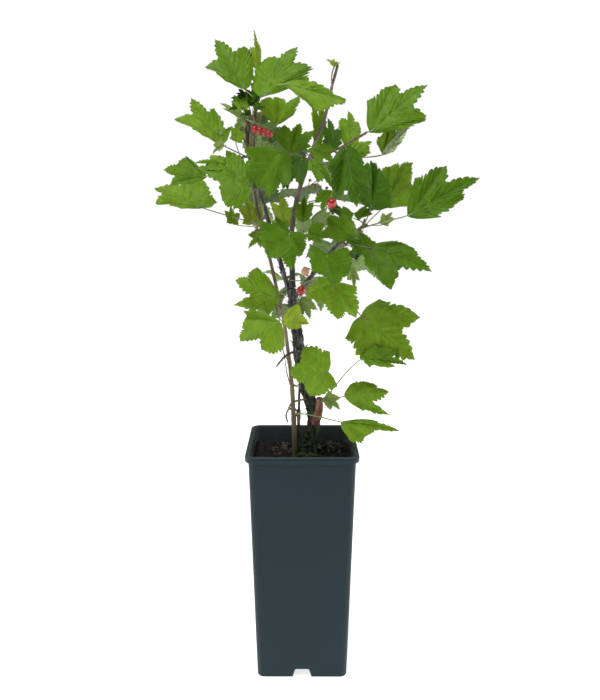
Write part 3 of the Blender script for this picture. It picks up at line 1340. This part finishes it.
def make_berries(spurs, finishes):
    """The berries on their thin hanging stalks, each with the dried flower at its foot."""
    chance = random.Random(FIRST_SEED + 3)
    red = []
    tan = []
    strings = []
    tufts = []
    for name, plan in GROUPS.items():
        for index, (right, up, out, radius) in enumerate(plan.berries):
            place = seen(right, up, out)
            bpy.ops.mesh.primitive_uv_sphere_add(segments=28, ring_count=18, radius=mm(radius) * nearness(out))
            berry = bpy.context.object
            points = points_of(berry)
            turn = np.arctan2(points[:, 1], points[:, 0])
            ripple = 1 + 0.012 * np.cos(10 * turn)
            points[:, 0] *= ripple
            points[:, 1] *= ripple
            set_points(berry, points)
            tip = Vector((chance.uniform(-0.5, 0.5), chance.uniform(-0.6, 0.1), -1)).normalized()
            turned = Matrix.Translation(place) @ tip.to_track_quat("Z", "Y").to_matrix().to_4x4()
            berry.data.transform(turned)
            (tan if (name, index) == ("middle_leaves", 1) else red).append(berry)
            start = spurs[name].place(0.9)[0]
            foot = place - tip * mm(radius) * 0.95
            hang = bent_route(start, (foot - start).normalized(), foot, tip, 12)
            strings.append(pipe(hang, [mm(0.42)] * 12, 7))
            for petal in range(5):
                angle = math.tau * petal / 5
                side = tip.orthogonal().normalized()
                flare = side * math.cos(angle) + tip.cross(side) * math.sin(angle)
                start = place + tip * mm(radius) * 0.93 + flare * mm(0.35)
                end = start + tip * mm(1.3) + flare * mm(0.5)
                tufts.append(pipe([start, start.lerp(end, 0.5), end], [mm(0.3), mm(0.36), mm(0.1)], 5))
    settle(join("red_berries", red), "leaf", [finishes["red_berry"]])
    settle(join("unripe_berry", tan), "leaf", [finishes["tan_berry"]])
    settle(join("berry_stalks", strings), "leaf", [finishes["green_stalk"]])
    settle(join("berry_tufts", tufts), "brown_bark", [finishes["bud"]])


# Small things: curled leaflets, dry flower stalks and bare twigs

def make_tuft(finishes):
    """The knot of small curled leaves at the left bough's head, and what is left of the shoot's last leaf."""
    chance = random.Random(FIRST_SEED + 41)
    model = blade_model(random.Random(FIRST_SEED + 60), even(1.0))
    leaflets = []
    for leaf in CURLED_LEAVES:
        blade = measured_blade(leaf)
        habit = {
            "trough": 0.5, "wave": 0.16, "waves": 3, "phase": chance.uniform(0, math.tau),
            "twist": chance.uniform(-0.3, 0.3), "droop": chance.uniform(0.5, 1.2)}
        leaflet = lay_leaf(model, blade, habit)
        for part in ("", "_under", "_edge", "_tip"):
            leaflet.data.materials.append(finishes[leaf.tint + part])
        leaflets.append(leaflet)
    discard(model)
    piece = join("curled_leaflets", leaflets)
    apply_modifier(
        piece, "SOLIDIFY", thickness=BLADE_THICKNESS, offset=-1, material_offset=1, material_offset_rim=2)
    settle(piece, "leaf", None)


def make_dry_twigs(finishes):
    """Dry flower stalks with their withered flowers, and bare twigs beside the old stem."""
    chance = random.Random(FIRST_SEED + 43)
    stalks = []
    flowers = []
    for tip in DRY_STALK_TIPS:
        foot = seen(-51 + chance.uniform(-3, 3), 545 + chance.uniform(-6, 4), chance.uniform(-3, 5))
        tip = seen(*tip)
        bend = foot.lerp(tip, 0.55) + Vector([mm(chance.uniform(-2, 2)) for _ in range(3)])
        route = smooth_route([foot, bend, tip], mm(2))
        thick = mm(chance.uniform(0.5, 0.95))
        radii = [thick * (1 - 0.5 * index / (len(route) - 1)) for index in range(len(route))]
        stalks.append(pipe(route, radii, 7, young_bark_relief(0.12, 5)))
    for radius, *knots in BARE_TWIGS:
        route = smooth_route([seen(*knot) for knot in knots], mm(2))
        radii = [mm(radius) * (1 - 0.35 * index / (len(route) - 1)) for index in range(len(route))]
        stalks.append(pipe(route, radii, 7, young_bark_relief(0.12, 5)))
    for foot, tip in WITHERED_FLOWERS:
        foot = seen(*foot)
        tip = seen(*tip)
        route = smooth_route([foot, foot.lerp(tip, 0.5) + Vector((0, 0, mm(1))), tip], mm(1.5))
        stalks.append(pipe(route, [mm(0.32)] * len(route), 6))
        bpy.ops.mesh.primitive_ico_sphere_add(subdivisions=3, radius=1)
        flower = bpy.context.object
        points = points_of(flower)
        for number, spot in enumerate(points):
            crumple = noise.noise(Vector(spot) * 2.4 + tip * 700)
            points[number] = Vector(spot) * mm(1.35) * (1 + 0.55 * crumple) + tip
        set_points(flower, points)
        flowers.append(flower)
    settle(join("dry_twigs", stalks), "brown_bark", [finishes["dry_twig"]])
    settle(join("withered_flowers", flowers), "brown_bark", [finishes["bud"]])


# The pot

def rounded_square(width, corner, bow):
    """Points round a square with rounded corners and sides that bow in a little."""
    spots = []
    half = width / 2
    inset = half - corner
    for quarter in range(4):
        turn = math.pi / 2 * quarter
        own = [(half - bow, 0), (half - bow * 0.64, inset * 0.6)]
        for step in range(CORNER_STEPS):
            angle = math.pi / 2 * step / (CORNER_STEPS - 1)
            own.append((inset + corner * math.cos(angle), inset + corner * math.sin(angle)))
        own.append((inset * 0.6, half - bow * 0.64))
        for x, y in own:
            spots.append((x * math.cos(turn) - y * math.sin(turn), x * math.sin(turn) + y * math.cos(turn)))
    return spots


def stacked(name, rings):
    """A closed shell through rings of points: a circle, extruded ring by ring and then drawn to shape."""
    count = len(rings[0][0])
    bpy.ops.mesh.primitive_circle_add(vertices=count, radius=1, fill_type="NOTHING")
    shell = bpy.context.object
    bpy.ops.object.mode_set(mode="EDIT")
    bpy.ops.mesh.select_mode(type="EDGE")
    bpy.ops.mesh.select_all(action="SELECT")
    for _ in rings[1:]:
        bpy.ops.mesh.extrude_region_move(TRANSFORM_OT_translate={"value": (0, 0, 1)})
    bpy.ops.mesh.select_all(action="SELECT")
    bpy.ops.mesh.fill_holes(sides=0)
    bpy.ops.object.mode_set(mode="OBJECT")
    points = points_of(shell)
    for number, (x, y, z) in enumerate(points):
        spots, height = rings[round(z)]
        index = round(math.atan2(y, x) % math.tau / math.tau * count) % count
        points[number] = (*spots[index], height)
    set_points(shell, points)
    bpy.ops.object.mode_set(mode="EDIT")
    bpy.ops.mesh.select_all(action="SELECT")
    bpy.ops.mesh.normals_make_consistent(inside=False)
    bpy.ops.object.mode_set(mode="OBJECT")
    shell.name = name
    return shell


def inside_width(height):
    """The width of the pot's inside at a height."""
    share = height / POT_HEIGHT
    return FOOT_WIDTH + (BODY_TOP_WIDTH - FOOT_WIDTH) * share - 2 * WALL


def body_width(height):
    return inside_width(height) + 2 * WALL


def cut_away(shell, cutter):
    apply_modifier(shell, "BOOLEAN", operation="DIFFERENCE", object=cutter, solver="EXACT")
    discard(cutter)


def make_pot(finishes):
    """The pot with its rolled lip, its notched foot and its drained floor."""
    lip_foot = POT_HEIGHT - LIP_HEIGHT
    floor_top = SKIRT_HEIGHT + FLOOR_THICKNESS
    soft = mm(0.55)
    profile = [
        (inside_width(SKIRT_HEIGHT), SKIRT_HEIGHT, 0.2),
        (inside_width(0) + mm(0.2), mm(0.3), 0),
        (FOOT_WIDTH - mm(0.8), 0, 0),
        (FOOT_WIDTH - mm(0.1), mm(0.5), 0),
    ]
    for share in (0.12, 0.3, 0.5, 0.7, 0.88):
        height = lip_foot * share
        profile.append((body_width(height), height, 4 * share * (1 - share)))
    profile += [
        (body_width(lip_foot) - mm(0.05), lip_foot - mm(0.6), 0),
        (body_width(lip_foot) + mm(1.2), lip_foot - mm(0.05), 0),
        (LIP_WIDTH - 2 * soft, lip_foot, 0),
        (LIP_WIDTH - 0.6 * soft, lip_foot + 0.3 * soft, 0),
        (LIP_WIDTH, lip_foot + soft, 0),
        (LIP_WIDTH, POT_HEIGHT - 1.6 * soft, 0),
        (LIP_WIDTH - 0.8 * soft, POT_HEIGHT - 0.5 * soft, 0),
        (LIP_WIDTH - 2.6 * soft, POT_HEIGHT, 0),
        (inside_width(POT_HEIGHT) + mm(0.8), POT_HEIGHT, 0),
        (inside_width(POT_HEIGHT), POT_HEIGHT - mm(0.5), 0),
        (inside_width(POT_HEIGHT * 0.6), POT_HEIGHT * 0.6, 0.9),
        (inside_width(floor_top), floor_top, 0.2),
    ]
    rings = []
    for width, height, bow in profile:
        corner = CORNER_RADIUS - (body_width(height) - width) / 2
        rings.append((rounded_square(width, corner, SIDE_BOW * bow), height))
    shell = stacked("nursery_pot", rings)
    slope = (NOTCH_FOOT_WIDTH - NOTCH_TOP_WIDTH) / NOTCH_HEIGHT
    for quarter in range(2):
        bpy.ops.mesh.primitive_cube_add(size=1)
        cutter = bpy.context.object
        points = points_of(cutter)
        points[:, 2] *= 2 * NOTCH_HEIGHT
        points[:, 0] *= NOTCH_FOOT_WIDTH - slope * points[:, 2]
        points[:, 1] *= FOOT_WIDTH * 1.2
        set_points(cutter, points)
        cutter.rotation_euler.z = math.pi / 2 * quarter
        apply_modifier(cutter, "BEVEL", width=mm(1.4), segments=4, limit_method="ANGLE")
        cut_away(shell, cutter)
    spots = [(0, 0)] + [(DRAIN_SPACING * x, DRAIN_SPACING * y) for x in (-1, 1) for y in (-1, 1)]
    for x, y in spots:
        bpy.ops.mesh.primitive_cylinder_add(
            vertices=32, radius=DRAIN_DIAMETER / 2, depth=FLOOR_THICKNESS * 3,
            location=(x, y, SKIRT_HEIGHT + FLOOR_THICKNESS / 2))
        cut_away(shell, bpy.context.object)
    for side in (-1, 1):
        bpy.ops.mesh.primitive_cube_add(
            size=1, location=(side * (LIP_WIDTH / 2 - mm(2.2)), LIP_SLOT_BACK, POT_HEIGHT))
        cutter = bpy.context.object
        cutter.scale = LIP_SLOT
        cut_away(shell, cutter)
    for face in shell.data.polygons:
        inward = face.center.x * face.normal.x + face.center.y * face.normal.y < -mm(1)
        on_lip = face.normal.z > 0.5 and face.center.z > lip_foot
        face.material_index = int(on_lip or inward and face.center.z > SOIL_TOP - mm(70))
    settle(shell, "slate_plastic", [finishes["slate_plastic"], finishes["dusty_plastic"]], "pot", smooth_angle=32)


# The compost

def soil_height(x, y):
    """How high the compost stands at a place, over its level."""
    feet = [seen(*limb.route[0]) for limb in LIMBS.values() if limb.parent is None]
    beside = min(math.hypot(x - foot.x, y - foot.y) for foot in feet)
    rough = min(1, max(0, (beside - mm(7)) / (SOIL_FLAT_RADIUS - mm(7))))
    lumps = noise.fractal(Vector((x, y, 0.3)) * 95, 0.8, 2.1, 4)
    grains = noise.noise(Vector((x, y, 0.7)) * 620)
    heaped = sum(
        height * math.exp(-((x - right) ** 2 + (y - back) ** 2) / radius ** 2)
        for right, back, radius, height in HEAPS)
    return rough * (mm(0.8) + mm(3.2) * lumps + heaped * (0.9 + 0.5 * lumps)) + mm(0.5) * grains


def make_compost(finishes):
    """The compost bed, with crumbs on it and moss round the old stem."""
    foot = SKIRT_HEIGHT + FLOOR_THICKNESS + GAP
    top_width = inside_width(SOIL_TOP) - 2 * GAP
    foot_width = inside_width(foot) - 2 * GAP
    corner = CORNER_RADIUS - WALL
    bpy.ops.mesh.primitive_grid_add(x_subdivisions=86, y_subdivisions=86, size=top_width)
    bed = bpy.context.object
    points = points_of(bed)
    inset = top_width / 2 - corner
    for number, (x, y, _) in enumerate(points):
        past = Vector((max(0, abs(x) - inset), max(0, abs(y) - inset)))
        if past.length > corner:
            past *= corner / past.length
            x = math.copysign(inset + past.x, x)
            y = math.copysign(inset + past.y, y)
        edge = min(1, (top_width / 2 - max(abs(x), abs(y))) / mm(3))
        points[number] = (x, y, SOIL_TOP + soil_height(x, y) * max(0, edge))
    set_points(bed, points)
    pick(bed)
    bpy.ops.object.mode_set(mode="EDIT")
    bpy.ops.mesh.select_mode(type="EDGE")
    bpy.ops.mesh.select_all(action="DESELECT")
    bpy.ops.mesh.select_non_manifold()
    bpy.ops.mesh.extrude_region_move(TRANSFORM_OT_translate={"value": (0, 0, foot - SOIL_TOP)})
    bpy.ops.transform.resize(value=(foot_width / top_width, foot_width / top_width, 1), center_override=(0, 0, 0))
    bpy.ops.mesh.edge_face_add()
    bpy.ops.mesh.select_all(action="SELECT")
    bpy.ops.mesh.normals_make_consistent(inside=False)
    bpy.ops.object.mode_set(mode="OBJECT")
    bed.name = "compost_bed"
    settle(bed, "compost", [finishes["compost"]], "compost")

    chance = random.Random(FIRST_SEED + 77)
    models = []
    for kind in range(4):
        bpy.ops.mesh.primitive_ico_sphere_add(subdivisions=2, radius=1)
        crumb = bpy.context.object
        points = points_of(crumb)
        for number, spot in enumerate(points):
            points[number] = spot * (1 + 0.45 * noise.noise(Vector(spot) * 1.5 + Vector((kind * 7, 0, 0))))
        set_points(crumb, points)
        models.append(crumb)
    dark = []
    brown = []
    for index in range(700):
        heap = chance.choice(HEAPS)
        heaped = index % 10 < 6
        if heaped:
            x = chance.gauss(heap[0], heap[2] * 0.6)
            y = chance.gauss(heap[1], heap[2] * 0.6)
        else:
            x = chance.uniform(-0.5, 0.5) * (top_width - mm(5))
            y = chance.uniform(-0.5, 0.5) * (top_width - mm(5))
        if max(abs(x), abs(y)) > top_width / 2 - mm(3):
            continue
        size = mm(0.5 + 2.2 * chance.random() ** 3)
        crumb = copy_of(chance.choice(models))
        turned = Matrix.Rotation(chance.uniform(0, math.tau), 4, chance.choice("XYZ"))
        flat = Matrix.Diagonal((size * chance.uniform(0.8, 1.7), size, size * chance.uniform(0.5, 0.9), 1))
        height = SOIL_TOP + soil_height(x, y) + size * 0.25
        crumb.data.transform(Matrix.Translation((x, y, height)) @ turned @ flat)
        (brown if chance.random() < (0.6 if heaped else 0.03) else dark).append(crumb)
    discard(*models)
    settle(join("dark_crumbs", dark), "compost", [finishes["compost"]])
    settle(join("brown_crumbs", brown), "compost", [finishes["crumb"]])

    cushions = []
    for right, up, out, size in MOSS_CUSHIONS:
        centre = seen(right, up, out)
        bpy.ops.mesh.primitive_ico_sphere_add(subdivisions=5, radius=1)
        cushion = bpy.context.object
        points = points_of(cushion)
        for number, spot in enumerate(points):
            fur = noise.noise(Vector(spot) * 13 + centre * 900)
            low = noise.noise(Vector(spot) * 2.1 + centre * 500)
            points[number] = spot * (1 + 0.28 * low + 0.22 * max(0, fur)) * mm(size)
        points[:, 2] *= 0.7
        set_points(cushion, points)
        cushion.data.transform(Matrix.Translation(centre))
        cushions.append(cushion)
    settle(join("moss", cushions), "leaf", [finishes["moss"]])


# Stage: how strongly the light table under the pot glows, and the soft light from all around
FLOOR_GLOW = 0.75
AMBIENT = 0.30


def make_stage():
    bpy.ops.mesh.primitive_plane_add(size=8, location=(0, 0, -mm(0.2)))
    floor = bpy.context.object
    floor.name = "floor"
    pale = plain("pale_floor", (0.93, 0.93, 0.93), 0.9)
    glow = pale.node_tree.nodes["Principled BSDF"]
    glow.inputs["Emission Color"].default_value = (1, 1, 1, 1)
    glow.inputs["Emission Strength"].default_value = FLOOR_GLOW
    floor.data.materials.append(pale)
    world = bpy.data.worlds.new("studio")
    bpy.context.scene.world = world
    world.use_nodes = True
    tree = world.node_tree
    shown = tree.nodes["Background"]
    shown.inputs["Color"].default_value = (1, 1, 1, 1)
    ambient = tree.nodes.new("ShaderNodeBackground")
    ambient.inputs["Color"].default_value = (1, 1, 1, 1)
    ambient.inputs["Strength"].default_value = AMBIENT
    ray = tree.nodes.new("ShaderNodeLightPath")
    choice = tree.nodes.new("ShaderNodeMixShader")
    tree.links.new(ray.outputs["Is Camera Ray"], choice.inputs["Fac"])
    tree.links.new(ambient.outputs["Background"], choice.inputs[1])
    tree.links.new(shown.outputs["Background"], choice.inputs[2])
    tree.links.new(choice.outputs["Shader"], tree.nodes["World Output"].inputs["Surface"])
    lamps = (
        ("top_softbox", (-0.3, -0.55, 2.0), 27, 1.2),
        ("right_softbox", (1.5, -0.1, 0.6), 11, 0.8),
        ("left_softbox", (-1.5, -0.25, 0.5), 8, 0.8),
    )
    for name, place, power, size in lamps:
        light = bpy.data.lights.new(name, "AREA")
        light.energy = power
        light.size = size
        lamp = bpy.data.objects.new(name, light)
        lamp.location = place
        lamp.rotation_euler = (Vector((0, 0, 0.32)) - Vector(place)).to_track_quat("-Z", "Y").to_euler()
        bpy.context.scene.collection.objects.link(lamp)
    lens = bpy.data.cameras.new("camera")
    lens.sensor_fit = "HORIZONTAL"
    lens.sensor_width = 36
    lens.lens = 36 * 701 / 600
    lens.clip_start = 0.01
    camera = bpy.data.objects.new("camera", lens)
    camera.location = (0, -0.7068, 0.4756)
    camera.rotation_euler = (math.radians(90 - 10.79), 0, math.atan(2.3 / 701))
    bpy.context.scene.collection.objects.link(camera)
    bpy.context.scene.camera = camera
    bpy.context.scene.view_settings.view_transform = "Standard"


def make_finishes():
    """Every material of the bush, its pot and its compost."""
    finishes = {
        "slate_plastic": mottled(
            "slate_plastic", ((0.0080, 0.0200, 0.0265), (0.0100, 0.0235, 0.0310)), 0.45, 9, bump=mm(0.05),
            bump_scale=60),
        "dusty_plastic": mottled(
            "dusty_plastic", ((0.018, 0.032, 0.034), (0.034, 0.050, 0.048)), 0.7, 60, bump=mm(0.1), bump_scale=8),
        "compost": mottled(
            "compost", ((0.0012, 0.0018, 0.0020), (0.0030, 0.0034, 0.0036), (0.0090, 0.0085, 0.0075)), 0.95, 320,
            bump=mm(0.5), bump_scale=3),
        "crumb": mottled(
            "brown_crumb", ((0.020, 0.014, 0.009), (0.070, 0.050, 0.032), (0.170, 0.135, 0.095)), 0.95, 420,
            bump=mm(0.4), bump_scale=3),
        "moss": mottled(
            "moss", ((0.005, 0.012, 0.004), (0.014, 0.030, 0.007), (0.036, 0.060, 0.014)), 0.9, 380,
            bump=mm(0.4), bump_scale=4),
        "old_bark": mottled(
            "old_bark", ((0.014, 0.013, 0.013), (0.060, 0.055, 0.052), (0.280, 0.262, 0.250)), 0.9, 300,
            (1, 1, 0.3), bump=mm(0.35), bump_scale=4),
        "flake": mottled(
            "bark_flake", ((0.022, 0.020, 0.018), (0.085, 0.078, 0.072), (0.250, 0.235, 0.225)), 0.9, 210,
            (1, 1, 0.4), bump=mm(0.2), bump_scale=4),
        "young_bark": mottled(
            "young_bark", ((0.090, 0.060, 0.026), (0.165, 0.125, 0.055), (0.240, 0.190, 0.095)), 0.55, 190,
            (1, 1, 0.18), bump=mm(0.12), bump_scale=4),
        "brown_bark": mottled(
            "brown_bark", ((0.050, 0.026, 0.018), (0.120, 0.066, 0.042), (0.230, 0.150, 0.105)), 0.6, 210,
            (1, 1, 0.2), bump=mm(0.15), bump_scale=4),
        "shoot_bark": mottled(
            "shoot_bark", ((0.038, 0.024, 0.018), (0.095, 0.062, 0.046), (0.210, 0.160, 0.125)), 0.65, 230,
            (1, 1, 0.25), bump=mm(0.18), bump_scale=4),
        "cut_wood": mottled(
            "cut_wood", ((0.045, 0.018, 0.012), (0.160, 0.060, 0.036), (0.300, 0.160, 0.100)), 0.8, 240,
            (1, 1, 0.3), bump=mm(0.3), bump_scale=4),
        "dry_twig": mottled(
            "dry_twig", ((0.060, 0.040, 0.026), (0.170, 0.115, 0.072), (0.360, 0.285, 0.190)), 0.7, 230,
            (1, 1, 0.25), bump=mm(0.1), bump_scale=4),
        "bud": mottled("dry_bud", ((0.070, 0.038, 0.022), (0.190, 0.110, 0.060)), 0.7, 420),
        "green_stalk": mottled("green_stalk", ((0.150, 0.230, 0.060), (0.260, 0.330, 0.120)), 0.45, 90),
        "purple_stalk": mottled("purple_stalk", ((0.105, 0.070, 0.060), (0.190, 0.150, 0.110)), 0.45, 90),
        "red_berry": mottled("red_berry", ((0.26, 0.006, 0.005), (0.44, 0.014, 0.010)), 0.18, 160),
        "tan_berry": mottled("tan_berry", ((0.42, 0.22, 0.10), (0.58, 0.36, 0.20)), 0.3, 160),
    }
    finishes["slate_plastic"].node_tree.nodes["Principled BSDF"].inputs["Specular IOR Level"].default_value = 0.18
    for finish in ("old_bark", "flake"):
        darkening(finishes[finish], mm(390), mm(250), (0.26, 0.42, 0.20))
    darkening(finishes["young_bark"], mm(380), mm(480), (0.30, 0.27, 0.32))
    darkening(finishes["young_bark"], mm(320), mm(245), (0.50, 0.55, 0.38))
    darkening(finishes["shoot_bark"], mm(520), mm(440), (0.30, 0.36, 0.42))
    finishes["red_berry"].node_tree.nodes["Principled BSDF"].inputs["Coat Weight"].default_value = 0.4
    for tint, (upper, under) in TINTS.items():
        finishes[tint] = leaf_finish(tint + "_leaf", upper, 0.46)
        finishes[tint + "_under"] = leaf_finish(tint + "_leaf_underside", under, 0.7)
        finishes[tint + "_edge"] = plain(tint + "_leaf_edge", shaded(upper, 0.45), 0.6)
        finishes[tint + "_tip"] = mottled(tint + "_leaf_tip", (shaded(upper, 0.8), BROWNED), 0.6, 260)
        vein = tuple(part + (other - part) * 0.35 for part, other in zip(upper, under))
        finishes[tint + "_vein"] = plain(tint + "_leaf_vein", vein, 0.5)
    return finishes


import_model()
bpy.ops.object.select_all(action="DESELECT")
finishes = make_finishes()
make_stage()
make_pot(finishes)
make_compost(finishes)
make_stems(finishes)
make_flakes(finishes)
make_buds(finishes)
spurs, grown = grow_leaves(limb_skeletons())
make_stalks(spurs, grown, finishes)
make_leaves(grown, finishes)
make_tuft(finishes)
make_dry_twigs(finishes)
make_berries(spurs, finishes)
